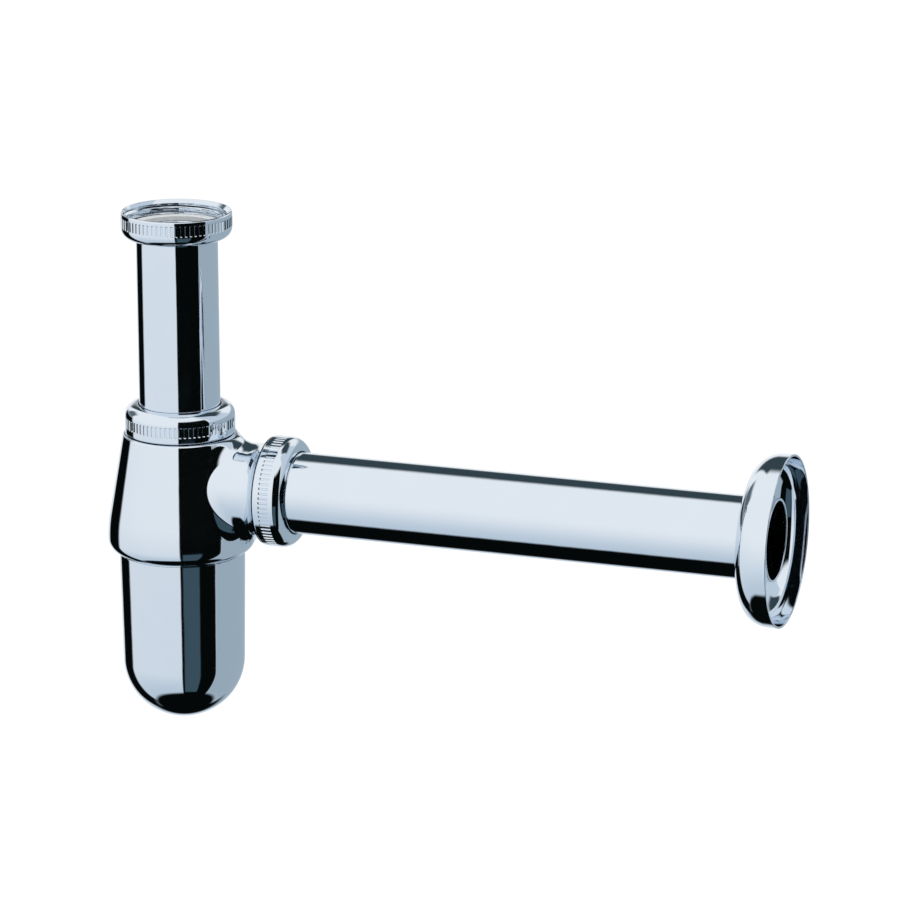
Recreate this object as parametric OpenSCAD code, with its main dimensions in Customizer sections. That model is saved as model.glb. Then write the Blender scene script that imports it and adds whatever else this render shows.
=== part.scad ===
// Bottle trap for a washbasin: chrome-plated brass, 32 mm tubes, wall outlet.
// The origin is the centre of the washer's top face inside the inlet nut, +Z is up,
// and the outlet runs towards +X. All sizes are millimetres.

/* [Tubes] */
// Outside diameter of both tubes
tube_d = 32; // [30:0.5:34]
// Wall thickness of both tubes
tube_wall = 1; // [0.7:0.1:1.5]
// Height of the washer's top face above the outlet axis
drop = 103.6; // [80:0.2:140]
// Depth of the dip tube's end below the outlet's water level
water_seal = 51; // [50:1:75]
// Space between the dip tube and the outlet tube's inner end
dip_space = 8; // [6:0.5:10]
// Distance from the trap's axis to the wall
reach = 246.5; // [150:0.5:400]
// How far the outlet tube's open end stays back from the wall
end_back = 4.2; // [0:0.2:8]

/* [Inlet joint] */
// Thickness of the tube's turned-out collar
collar_t = 1.2; // [0.8:0.1:2]
// Radius of the collar's inner edge
collar_round = 0.5; // [0.2:0.1:0.6]
// Thickness of the flat sealing washer
washer_t = 2; // [1.5:0.1:3]
// Distance from the tube's bore to the washer's bore
washer_lap = 0.5; // [0.2:0.1:1.5]
// Free length of the inlet nut's thread above the washer
inlet_thread = 4.2; // [3.6:0.1:9]
// Height of the lead-in chamfer above that thread
lead_in = 1.4; // [0.6:0.1:1.5]
// Depth of the relief behind that thread
relief = 0.4; // [0.2:0.1:0.8]
// Radius of the bevel under the inlet nut
bevel_r = 4.1; // [3:0.1:4.4]
// Distance from the inlet nut's rim to its belt
inlet_belt_edge = 1.7; // [1.2:0.1:2]

/* [Nuts] */
// Radial room between the tube and the thread, which the seal fills
seal_room = 3.476; // [3.2:0.002:4.5]
// Nut wall outside the thread
nut_wall = 2.2; // [2:0.1:3]
// Length of the two compression nuts
nut_len = 11.4; // [11:0.2:14]
// Thickness of the nuts' inward lip
lip_t = 1.6; // [1.2:0.1:2.5]
// Radius of the dome on a compression nut
dome_r = 4.5; // [3:0.1:4.6]
// Radius on the open rims of the nuts
rim_r = 0.7; // [0.3:0.1:1]
// Chamfer on thread ends
edge_chamfer = 0.5; // [0.3:0.1:0.8]

/* [Ribbed belts] */
// Number of ribs round a nut
ribs = 72; // [48:6:96]
// Height of the ribbed belt
belt_len = 4.2; // [3:0.1:4.4]
// Distance from a compression nut's open edge to its belt
belt_edge = 2.6; // [1.6:0.1:2.8]
// Depth of the grooves between ribs
rib_depth = 0.4; // [0.2:0.05:0.6]

/* [Seals] */
// Thickness of the seal's flange
seal_flange = 0.9; // [0.6:0.1:1.5]
// Length of the seal's cone below the flange
seal_cone = 3.3; // [2:0.1:4]
// Radial height of the cone at the flange
cone_top = 2; // [1.6:0.1:2.2]
// Radial height of the cone at its tip
cone_tip = 0.9; // [0.6:0.1:1.2]
// Thickness of the slip ring
slip_ring_t = 1; // [0.6:0.1:1.5]

/* [Trap body] */
// Height of the body's shoulder above the top of the branch
shoulder_rise = 2.4; // [1.6:0.1:6]
// How far the shoulder stands out beyond the body nut
shoulder_out = 1.07; // [0.8:0.01:2]
// Radius on the shoulder's edge
shoulder_r = 0.9; // [0.4:0.1:1.2]
// How far the bell's widest part stands out beyond the cup
skirt_out = 4.3; // [3.8:0.1:5]
// Depth of the bell's lower edge below the branch
skirt_drop = 9.7; // [9:0.1:14]
// Radius of the bell's lower corner
corner_r = 5.5; // [5:0.1:6]
// Height above the corner over which the bell's flank turns upright
turn_len = 9.4; // [6:0.2:12]
// Radial change of the flank over that height
turn_in = 0.8; // [0.4:0.1:1.2]
// Wall thickness of the bell
body_wall = 2.2; // [1.8:0.1:2.6]
// Height of the chamber's roof above the branch's bore
roof_over = 0.6; // [0.4:0.1:1]
// Height of the sloping edge of that roof
roof_rise = 2; // [1:0.2:3]
// Wall thickness of the branch
branch_wall = 1.5; // [1.2:0.1:2]
// How far the branch's flared end stands out beyond the bell
branch_out = 8.8; // [7.5:0.1:14]
// How far the flare stays inside the outlet nut's outline
flare_in = 0.35; // [0.2:0.05:0.8]
// Radius of the flare's curve
flare_curve = 8; // [5:0.5:10]

/* [Cup] */
// Radius of the cup's round end
cup_r = 24.2; // [23:0.1:26]
// Taper of the cup, from the round end up to the bell
cup_taper = 0.7; // [0.3:0.1:1.2]
// Distance from the dip tube's end down to where the round end begins
sump = 6.4; // [3:0.2:20]
// Wall thickness of the cup
cup_wall = 1.5; // [1:0.1:2]
// Step from the cup's wall in to its threaded neck
cup_step = 0.5; // [0.4:0.05:0.8]
// Length of the cup's threaded neck inside the bell
cup_neck = 7.1; // [5:0.1:7.4]
// Thickness of the gasket above the cup's rim
gasket_t = 2; // [1:0.1:2.2]
// Thickness of the ledge that the gasket seals against
ledge_t = 2; // [1.5:0.1:2.2]
// Width of that ledge, in from the cup's thread
ledge_w = 3.7; // [3:0.1:4.5]

/* [Wall flange] */
// Radius of the flange's rim on the wall
flange_r = 33; // [30:0.5:40]
// Depth of the flange from its back to the wall
flange_depth = 14; // [12:0.5:20]
// Radius of the round between the flange's back and its side
flange_round = 9.8; // [6:0.1:10]
// Draft of the flange's side, from the round to the rim
flange_draft = 0.4; // [0:0.1:1]
// Sheet thickness of the flange
flange_t = 0.9; // [0.6:0.1:1.4]

/* [Clearances] */
// Radial gap between a nut's thread and the thread it screws on
thread_gap = 0.25; // [0.15:0.05:0.3]
// Radial gap of washers and collars that pass through a nut's thread
pass_gap = 0.376; // [0.3:0.002:0.5]
// Radial gap between a nut's lip and the tube
lip_gap = 0.4; // [0.3:0.05:0.6]
// Radial gap between a slip ring and the tube
ring_gap = 0.3; // [0.2:0.05:0.5]
// Radial gap between a seal and the tube it grips
seal_gap = 0.05; // [0.02:0.01:0.1]
// Radial gap between a seal's cone and the mouth round it
cone_gap = 0.3; // [0.2:0.05:0.4]
// Gap between a seal's tip and the floor of its mouth
tip_gap = 0.4; // [0.2:0.1:0.8]
// Radial gap between the body's bores and the tubes
bore_gap = 0.5; // [0.3:0.05:0.6]
// Gap between a nut's open edge and the shoulder below it
edge_gap = 0.3; // [0.2:0.05:0.6]
// Radial gap between the cup's thread and the bell
cup_gap = 0.3; // [0.15:0.05:0.3]
// Gap between the bell's lower edge and the cup
seam_gap = 0.3; // [0.2:0.05:0.5]
// Radial gap between the gasket and the parts round it
gasket_gap = 0.4; // [0.3:0.05:0.6]
// Radial gap between the flange's hole and the outlet tube
flange_gap = 0.3; // [0.3:0.05:0.8]

/* [Hidden] */
$fn = 96;

// Points on each round of an outline, and the overlap of a clean cut
arc_n = 10;
cut = 0.5;

// Radii shared by the pieces round a tube
tube_r = tube_d / 2;
tube_bore_r = tube_r - tube_wall;
thread_r = tube_r + seal_room;
nut_r = thread_r + nut_wall;
spigot_r = thread_r - thread_gap;
pass_r = thread_r - pass_gap;
lip_r = tube_r + lip_gap;
body_bore_r = tube_r + bore_gap;

// Levels inside the inlet nut, from the washer's top face
collar_z = -washer_t - collar_t;
inlet_bottom = collar_z - lip_t;
inlet_top = inlet_thread + lead_in;
inlet_belt_z = inlet_top - inlet_belt_edge - belt_len;

// A compression nut is drawn upwards from its open edge: the neck's end face lies at seat
seat = nut_len - lip_t - slip_ring_t - seal_flange;
cone_slope = (cone_top - cone_tip) / seal_cone;
mouth_r = tube_r + cone_top + cone_gap;
mouth_depth = seal_cone + tip_gap;

// Levels and radii of the trap's body, from the outlet axis and the trap's axis
branch_r = body_bore_r + branch_wall;
shoulder_z = branch_r + shoulder_rise;
neck_top = shoulder_z + edge_gap + seat;
bell_top_r = nut_r + shoulder_out;
bell_bottom = -branch_r - skirt_drop;
corner_z = bell_bottom + corner_r;
turn_z = corner_z + turn_len;
roof_z = body_bore_r + roof_over;

// Levels and radii of the cup
dip = tube_bore_r + water_seal;
cup_top = bell_bottom - seam_gap;
cup_top_r = cup_r + cup_taper;
cup_round_z = -dip - sump;
cup_neck_r = cup_top_r - cup_step;
cup_thread_r = cup_neck_r + cup_gap;
rim_z = bell_bottom + cup_neck;
ledge_z = rim_z + gasket_t;
ledge_r = cup_thread_r - ledge_w;
bell_r = cup_top_r + skirt_out;

// The branch, from the trap's axis outwards
flare_x = bell_r + branch_out;
branch_len = flare_x + edge_gap + seat;
flare_r = nut_r - flare_in;
flare_angle = acos(1 - (flare_r - branch_r) / flare_curve);
flare_run = flare_curve * sin(flare_angle);
outlet_start = tube_r + dip_space;
bore_start = tube_r - branch_r / 2;

// Points of an arc round a centre, from angle a0 to a1
function arc(centre, r, a0, a1, n = arc_n) = [
    for (i = [0:n]) let (a = a0 + (a1 - a0) * i / n)
        [centre.x + r * cos(a), centre.y + r * sin(a)]
];

// Radius of the bell at height z: a straight flank that turns upright above the corner
function bell_at(z) =
    z > turn_z
        ? bell_top_r + (bell_r - turn_in - bell_top_r)
            * (shoulder_z - shoulder_r - z) / (shoulder_z - shoulder_r - turn_z)
        : bell_r - turn_in * pow((z - corner_z) / turn_len, 2);

// Puts a piece drawn about the outlet's level into the part's frame
module at_outlet() translate([0, 0, -drop]) children();

// Turns a piece drawn up +Z so that it runs along +X
module along_x() rotate([0, 90, 0]) children();

// Places a piece of a compression joint on the body's neck, or on its branch
module on_neck() at_outlet() translate([0, 0, neck_top - seat]) children();
module on_branch() at_outlet() translate([branch_len - seat, 0, 0]) along_x() children();

// A plain ring standing on z = 0
module ring(out_r, in_r, h) {
    rotate_extrude() translate([in_r, 0]) square([out_r - in_r, h]);
}

// The grooves that leave a belt of ribs on a nut, from z up
module rib_grooves(z) {
    pitch = 360 / ribs;
    floor_r = nut_r - rib_depth;
    over_r = nut_r + rib_depth;
    // Half widths of a rib at those two radii, as shares of the pitch
    foot = 0.38;
    crest = 0.12;
    outline = [[-foot, floor_r], [-crest, over_r], [crest, over_r], [foot, floor_r]];
    teeth = [
        for (i = [0:ribs - 1]) for (p = outline)
            let (a = (i + p[0]) * pitch) [p[1] * cos(a), p[1] * sin(a)]
    ];
    translate([0, 0, z]) linear_extrude(belt_len) difference() {
        circle(over_r + rib_depth);
        polygon(teeth);
    }
}

// A domed compression nut, its open edge on z = 0 and the tube leaving through its lip
module compression_nut() {
    difference() {
        rotate_extrude() polygon(concat(
            [[thread_r + edge_chamfer, 0]],
            arc([nut_r - rim_r, rim_r], rim_r, -90, 0, 5),
            arc([nut_r - dome_r, nut_len - dome_r], dome_r, 0, 90),
            [[lip_r, nut_len], [lip_r, nut_len - lip_t], [thread_r, nut_len - lip_t],
             [thread_r, edge_chamfer]]
        ));
        rib_grooves(belt_edge);
    }
}

// The rubber seal of a compression joint, its flange lying on the neck at z = seat
module cone_seal() {
    bore_r = tube_r + seal_gap;
    rotate_extrude() polygon([
        [bore_r, seat - seal_cone],
        [tube_r + cone_tip, seat - seal_cone],
        [tube_r + cone_top, seat],
        [pass_r, seat],
        [pass_r, seat + seal_flange],
        [bore_r, seat + seal_flange]
    ]);
}

// The slip ring between a seal and the nut's lip
module slip_ring() {
    translate([0, 0, seat + seal_flange]) ring(pass_r, tube_r + ring_gap, slip_ring_t);
}

// The threaded end of the neck or the branch, from its shoulder up to z = seat
module threaded_end() {
    low = -edge_gap - cut;
    rotate_extrude() polygon([
        [0, low], [spigot_r, low], [spigot_r, seat - edge_chamfer],
        [spigot_r - edge_chamfer, seat], [0, seat]
    ]);
}

// The bore through a threaded end, with the conical mouth for its seal
module mouth_bore(depth) {
    rotate_extrude() polygon([
        [0, seat - depth], [body_bore_r, seat - depth], [body_bore_r, seat - mouth_depth],
        [mouth_r - cone_slope * mouth_depth, seat - mouth_depth],
        [mouth_r, seat], [mouth_r, seat + cut], [0, seat + cut]
    ]);
}

// Outside of the bell
module bell() {
    steps = 6;
    flank = [for (i = [0:steps]) let (z = turn_z - turn_len * i / steps) [bell_at(z), z]];
    rotate_extrude() polygon(concat(
        [[0, shoulder_z]],
        arc([bell_top_r - shoulder_r, shoulder_z - shoulder_r], shoulder_r, 90, 0, 5),
        flank,
        arc([bell_r - corner_r, corner_z], corner_r, 0, -90),
        [[0, bell_bottom]]
    ));
}

// Outside of the branch, drawn up +Z from the trap's axis to its flared end
module branch() {
    centre = [branch_r + flare_curve, flare_x - flare_run];
    rotate_extrude() polygon(concat(
        [[0, 0], [branch_r, 0]],
        arc(centre, flare_curve, 180, 180 - flare_angle, 6),
        [[0, flare_x]]
    ));
}

// Room inside the bell: the chamber round the dip tube, the ledge's bore and the cup's thread
module chamber() {
    ledge_top = ledge_z + ledge_t;
    low = bell_bottom - cut;
    rotate_extrude() polygon([
        [0, roof_z],
        [body_bore_r, roof_z],
        [bell_at(roof_z) - body_wall, roof_z - roof_rise],
        [bell_at(turn_z) - body_wall, turn_z],
        [bell_at(ledge_top) - body_wall, ledge_top],
        [ledge_r, ledge_top],
        [ledge_r, ledge_z],
        [cup_thread_r, ledge_z],
        [cup_thread_r, low],
        [0, low]
    ]);
}

module inlet_nut() {
    color("silver") difference() {
        rotate_extrude() polygon(concat(
            [[lip_r, inlet_bottom]],
            arc([nut_r - bevel_r, inlet_bottom + bevel_r], bevel_r, -90, 0),
            arc([nut_r - rim_r, inlet_top - rim_r], rim_r, 0, 90, 5),
            [[thread_r + lead_in, inlet_top], [thread_r, inlet_thread], [thread_r, 0],
             [thread_r + relief, 0], [thread_r + relief, collar_z], [lip_r, collar_z]]
        ));
        rib_grooves(inlet_belt_z);
    }
}

module inlet_washer() {
    color("gainsboro") translate([0, 0, -washer_t])
        ring(pass_r, tube_bore_r + washer_lap, washer_t);
}

module inlet_tube() {
    top = collar_z + collar_t;
    color("silver") rotate_extrude() polygon(concat(
        [[tube_bore_r, -drop - dip], [tube_r, -drop - dip], [tube_r, collar_z],
         [pass_r, collar_z], [pass_r, top]],
        arc([tube_bore_r + collar_round, top - collar_round], collar_round, 90, 180, 4)
    ));
}

module body_nut() {
    color("silver") on_neck() compression_nut();
}

module body_slip_ring() {
    color("ivory") on_neck() slip_ring();
}

module body_seal() {
    color("dimgray") on_neck() cone_seal();
}

module trap_body() {
    color("silver") difference() {
        union() {
            at_outlet() bell();
            on_neck() threaded_end();
            at_outlet() along_x() branch();
            on_branch() threaded_end();
        }
        at_outlet() chamber();
        on_neck() mouth_bore(neck_top - roof_z + roof_rise);
        on_branch() mouth_bore(branch_len - bore_start);
    }
}

module cup_gasket() {
    out_r = cup_thread_r - gasket_gap;
    in_r = ledge_r + gasket_gap;
    color("dimgray") at_outlet() translate([0, 0, rim_z]) ring(out_r, in_r, gasket_t);
}

module cup() {
    in_r = cup_r - cup_wall;
    neck_in_r = cup_neck_r - cup_wall;
    color("silver") at_outlet() rotate_extrude() polygon(concat(
        [[neck_in_r, rim_z], [cup_neck_r, rim_z], [cup_neck_r, cup_top], [cup_top_r, cup_top]],
        arc([0, cup_round_z], cup_r, 0, -90, 2 * arc_n),
        arc([0, cup_round_z], in_r, -90, 0, 2 * arc_n)
    ));
}

module outlet_nut() {
    color("silver") on_branch() compression_nut();
}

module outlet_slip_ring() {
    color("ivory") on_branch() slip_ring();
}

module outlet_seal() {
    color("dimgray") on_branch() cone_seal();
}

module outlet_tube() {
    color("silver") at_outlet() translate([outlet_start, 0, 0]) along_x()
        ring(tube_r, tube_bore_r, reach - end_back - outlet_start);
}

module wall_flange() {
    hole_r = tube_r + flange_gap;
    centre = [flange_r - flange_draft - flange_round, flange_round];
    color("silver") at_outlet() translate([reach - flange_depth, 0, 0]) along_x()
        rotate_extrude() polygon(concat(
            [[hole_r, 0]],
            arc(centre, flange_round, -90, 0),
            [[flange_r, flange_depth], [flange_r - flange_t, flange_depth]],
            arc(centre, flange_round - flange_t, 0, -90),
            [[hole_r, flange_t]]
        ));
}

inlet_nut();
inlet_washer();
inlet_tube();
body_nut();
body_slip_ring();
body_seal();
trap_body();
cup_gasket();
cup();
outlet_nut();
outlet_slip_ring();
outlet_seal();
outlet_tube();
wall_flange();
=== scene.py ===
"""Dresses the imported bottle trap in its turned, ribbed and threaded chrome, and lights it.

The trap stands on two axes. The inlet axis is Z, through the origin, and the outlet axis runs
towards +X at the outlet's level. Pieces are drawn in millimetres, as outlines of radius and
height, turned about Z, and then laid on the axis that they belong to.
"""

import logging
import math
from dataclasses import dataclass
from enum import Enum

import bpy
import numpy as np
from mathutils import Matrix, Vector

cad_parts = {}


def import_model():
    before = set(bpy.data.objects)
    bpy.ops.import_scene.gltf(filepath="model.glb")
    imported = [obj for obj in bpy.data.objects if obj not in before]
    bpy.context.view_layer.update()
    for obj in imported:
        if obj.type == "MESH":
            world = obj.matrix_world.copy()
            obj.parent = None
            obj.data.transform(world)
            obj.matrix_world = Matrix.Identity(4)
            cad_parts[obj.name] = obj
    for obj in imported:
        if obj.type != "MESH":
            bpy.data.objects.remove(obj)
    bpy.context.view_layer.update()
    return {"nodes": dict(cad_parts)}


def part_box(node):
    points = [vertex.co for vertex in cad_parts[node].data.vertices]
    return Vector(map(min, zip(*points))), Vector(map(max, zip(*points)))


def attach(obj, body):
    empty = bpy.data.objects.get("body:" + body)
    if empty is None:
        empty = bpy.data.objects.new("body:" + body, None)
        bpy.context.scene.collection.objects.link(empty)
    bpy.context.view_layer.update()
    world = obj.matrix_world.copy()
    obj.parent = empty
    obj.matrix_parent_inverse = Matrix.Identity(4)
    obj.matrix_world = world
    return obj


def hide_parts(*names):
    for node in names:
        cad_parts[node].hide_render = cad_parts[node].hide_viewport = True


LOG = logging.getLogger("bottle_trap")
MM = 0.001
ROUND_STEP = math.radians(7.5)
SMOOTH_ANGLE = math.radians(32)
TUBE_STEPS = 192
SECTORS = 8

Point = tuple[float, float]


class Axis(Enum):
    """The axis that a turned piece is laid on."""

    INLET = "inlet"
    OUTLET_LEVEL = "inlet, with heights from the outlet's level"
    OUTLET = "outlet"


class Slot(Enum):
    """Names of the material slots."""

    CHROME = "chrome_plate"
    RUBBER = "black_rubber"
    PLASTIC = "pale_plastic"


@dataclass(frozen=True)
class Corner:
    """A corner of an outline, in millimetres, with the radius of its round."""

    r: float
    z: float
    round: float = 0.0


@dataclass(frozen=True)
class Extent:
    """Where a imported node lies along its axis, and its outer radius, in millimetres."""

    low: float
    high: float
    radius: float


def extent(node: str, along: int = 2) -> Extent:
    """Reads a node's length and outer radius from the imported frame.

    Args:
        node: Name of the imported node.
        along: Index of the axis that the node is turned about.

    Returns:
        Its ends along that axis and its radius.
    """
    low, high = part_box(node)
    return Extent(low[along] / MM, high[along] / MM, high[1] / MM)


def rounded(corners: list[Corner]) -> list[Point]:
    """Rounds the corners of a closed outline.

    Args:
        corners: Corners in order.

    Returns:
        The outline's points, with an arc and two holding points at each rounded corner.
    """
    points: list[Point] = []
    count = len(corners)
    for index, corner in enumerate(corners):
        if corner.round <= 0:
            points.append((corner.r, corner.z))
            continue
        here = np.array([corner.r, corner.z])
        before = corners[index - 1]
        after = corners[(index + 1) % count]
        back = np.array([before.r, before.z]) - here
        ahead = np.array([after.r, after.z]) - here
        room = min(np.linalg.norm(back), np.linalg.norm(ahead))
        back = back / np.linalg.norm(back)
        ahead = ahead / np.linalg.norm(ahead)
        half = math.acos(float(np.clip(back @ ahead, -1, 1))) / 2
        setback = corner.round / math.tan(half)
        bisector = (back + ahead) / np.linalg.norm(back + ahead)
        centre = here + bisector * corner.round / math.sin(half)
        start = here + back * setback - centre
        sweep = math.pi - 2 * half
        turn_way = np.sign(back[0] * ahead[1] - back[1] * ahead[0]) * -1
        steps = max(3, math.ceil(sweep / ROUND_STEP))
        hold = min(0.25 * corner.round, 0.2, 0.4 * max(room - setback, 0))
        if hold > 0.02:
            points.append(tuple(here + back * (setback + hold)))
        for step in range(steps + 1):
            angle = turn_way * sweep * step / steps
            cos, sin = math.cos(angle), math.sin(angle)
            spoke = np.array([start[0] * cos - start[1] * sin, start[0] * sin + start[1] * cos])
            points.append(tuple(centre + spoke))
        if hold > 0.02:
            points.append(tuple(here + ahead * (setback + hold)))
    return [(max(float(r), 0.0), float(z)) for r, z in points]


def refined(points: list[Point], low: Point, high: Point, step: float) -> list[Point]:
    """Adds rows to the sides of a closed outline inside a box of radius and height.

    Args:
        points: The outline's points in order.
        low: Least radius and height of the box.
        high: Greatest radius and height of the box.
        step: Greatest distance between rows inside the box.

    Returns:
        The outline with its new points.
    """
    result: list[Point] = []
    for index, point in enumerate(points):
        result.append(point)
        start = np.array(point)
        run = np.array(points[(index + 1) % len(points)]) - start
        enter, leave = 0.0, 1.0
        for side in (0, 1):
            if abs(run[side]) < 1e-9:
                if not low[side] - 1e-6 <= start[side] <= high[side] + 1e-6:
                    leave = -1.0
                continue
            near = (low[side] - start[side]) / run[side]
            far = (high[side] - start[side]) / run[side]
            enter = max(enter, min(near, far))
            leave = min(leave, max(near, far))
        length = float(np.linalg.norm(run)) * (leave - enter)
        if leave <= enter or length <= step:
            continue
        pieces = math.ceil(length / step)
        for share in np.linspace(enter, leave, pieces + 1):
            if 1e-4 < share < 1 - 1e-4:
                result.append(tuple(start + run * share))
    return [(float(r), float(z)) for r, z in result]


def arc(centre: Point, radius: float, start: float, end: float, steps: int) -> list[Point]:
    """Points of an arc in an outline.

    Args:
        centre: Its centre.
        radius: Its radius.
        start: First angle in degrees, from the direction of growing radius.
        end: Last angle in degrees.
        steps: Number of sides.

    Returns:
        The arc's points in order.
    """
    angles = np.radians(np.linspace(start, end, steps + 1))
    return [
        (max(float(centre[0] + radius * math.cos(a)), 0.0),
         float(centre[1] + radius * math.sin(a)))
        for a in angles
    ]


def deselect() -> None:
    """Leaves nothing selected, so that an operator acts on the new piece alone."""
    bpy.ops.object.select_all(action="DESELECT")


def choose(obj: bpy.types.Object) -> None:
    """Makes one object the only selected and the active one.

    Args:
        obj: The object.
    """
    deselect()
    obj.select_set(True)
    bpy.context.view_layer.objects.active = obj


def spin_outline(name: str, points: list[Point], steps: int) -> bpy.types.Object:
    """Turns a closed outline about Z into a closed mesh.

    Args:
        name: Name of the new piece.
        points: The outline's points in order, in millimetres.
        steps: Number of sides round the axis, a multiple of the sectors.

    Returns:
        The new object, still on the Z axis.
    """
    deselect()
    bpy.ops.mesh.primitive_circle_add(vertices=len(points), radius=1.0, location=(0, 0, 0))
    obj = bpy.context.object
    obj.name = name
    obj.data.name = name
    for vertex, (r, z) in zip(obj.data.vertices, points):
        vertex.co = (r * MM, 0.0, z * MM)
    sector = 2 * math.pi / SECTORS
    bpy.ops.object.mode_set(mode="EDIT")
    bpy.ops.mesh.select_all(action="SELECT")
    bpy.ops.mesh.spin(steps=steps // SECTORS, angle=sector, center=(0, 0, 0), axis=(0, 0, 1))
    bpy.ops.mesh.select_all(action="SELECT")
    bpy.ops.mesh.spin(steps=SECTORS - 1, dupli=True, angle=sector * (SECTORS - 1),
                      center=(0, 0, 0), axis=(0, 0, 1))
    bpy.ops.mesh.select_all(action="SELECT")
    bpy.ops.mesh.remove_doubles(threshold=1e-6)
    bpy.ops.mesh.select_all(action="SELECT")
    bpy.ops.mesh.delete_loose(use_verts=True, use_edges=True, use_faces=False)
    bpy.ops.mesh.select_all(action="SELECT")
    bpy.ops.mesh.normals_make_consistent(inside=False)
    bpy.ops.object.mode_set(mode="OBJECT")
    return obj


def lay(obj: bpy.types.Object, axis: Axis, drop: float) -> None:
    """Lays a turned piece on its axis, with its place in its mesh.

    Args:
        obj: The turned piece, on the Z axis.
        axis: The axis that it belongs to.
        drop: Height of the origin above the outlet axis, in millimetres.
    """
    choose(obj)
    if axis is Axis.OUTLET:
        obj.rotation_euler = (0.0, math.pi / 2, 0.0)
    if axis is not Axis.INLET:
        obj.location = (0.0, 0.0, -drop * MM)
    bpy.ops.object.transform_apply(location=True, rotation=True, scale=True)


def smooth(obj: bpy.types.Object) -> None:
    """Shades a piece smooth, apart from its edges."""
    choose(obj)
    bpy.ops.object.shade_smooth_by_angle(angle=SMOOTH_ANGLE)


def read_points(obj: bpy.types.Object) -> np.ndarray:
    """Reads a piece's vertices.

    Args:
        obj: The piece.

    Returns:
        One row for each vertex, in millimetres.
    """
    flat = np.zeros(len(obj.data.vertices) * 3)
    obj.data.vertices.foreach_get("co", flat)
    return flat.reshape(-1, 3) / MM


def write_points(obj: bpy.types.Object, points: np.ndarray) -> None:
    """Puts the piece's vertices, given in millimetres, back in its mesh."""
    obj.data.vertices.foreach_set("co", (points * MM).ravel())
    obj.data.update()


def ramp(value: np.ndarray, start: float, end: float) -> np.ndarray:
    """A smooth rise from 0 at start to 1 at end."""
    share = np.clip((value - start) / (end - start), 0, 1)
    return share * share * (3 - 2 * share)


@dataclass(frozen=True)
class RibbedBelt:
    """The belt of grip ribs round a nut, in millimetres along its axis."""

    low: float
    high: float
    count: int = 72
    depth: float = 0.4
    crest: float = 0.25
    foot: float = 0.375
    run_out: float = 0.3

    def carve(self, obj: bpy.types.Object, radius: float) -> None:
        """Sinks the grooves between the ribs into a turned nut.

        Args:
            obj: The nut, on the Z axis.
            radius: Its outer radius.
        """
        points = read_points(obj)
        rho = np.hypot(points[:, 0], points[:, 1])
        phase = np.arctan2(points[:, 1], points[:, 0]) / (2 * math.pi) * self.count
        away = np.abs(phase - np.round(phase))
        sunk = np.clip((away - self.crest) / (self.foot - self.crest), 0, 1)
        height = points[:, 2]
        inside = ramp(height, self.low, self.low + self.run_out)
        inside *= 1 - ramp(height, self.high - self.run_out, self.high)
        outer = rho > radius - 0.05
        new = rho - np.where(outer, self.depth * sunk * inside, 0)
        scale = np.where(rho > 1e-6, new / np.maximum(rho, 1e-6), 1)
        points[:, :2] *= scale[:, None]
        write_points(obj, points)


@dataclass(frozen=True)
class Thread:
    """A right-hand screw thread on a turned wall, in millimetres along its axis."""

    radius: float
    low: float
    high: float
    pitch: float
    depth: float
    run_out: float = 0.9

    def cut(self, obj: bpy.types.Object, start: float = 0.0) -> None:
        """Shapes a plain wall of the thread's radius into the thread.

        Args:
            obj: The turned piece, on the Z axis.
            start: Turns by which the thread is set on.
        """
        points = read_points(obj)
        rho = np.hypot(points[:, 0], points[:, 1])
        turns = np.arctan2(points[:, 1], points[:, 0]) / (2 * math.pi)
        phase = (points[:, 2] / self.pitch - turns + start) % 1.0
        flank = 1 - np.abs(2 * phase - 1)
        tooth = np.clip(1.25 * flank - 0.125, 0, 1)
        tooth = 0.6 * tooth + 0.4 * tooth * tooth * (3 - 2 * tooth)
        inside = ramp(points[:, 2], self.low, self.low + self.run_out)
        inside *= 1 - ramp(points[:, 2], self.high - self.run_out, self.high)
        wall = np.abs(rho - self.radius) < 0.02
        new = rho + np.where(wall, self.depth * tooth * inside, 0)
        points[:, :2] *= (new / np.maximum(rho, 1e-6))[:, None]
        write_points(obj, points)


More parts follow.
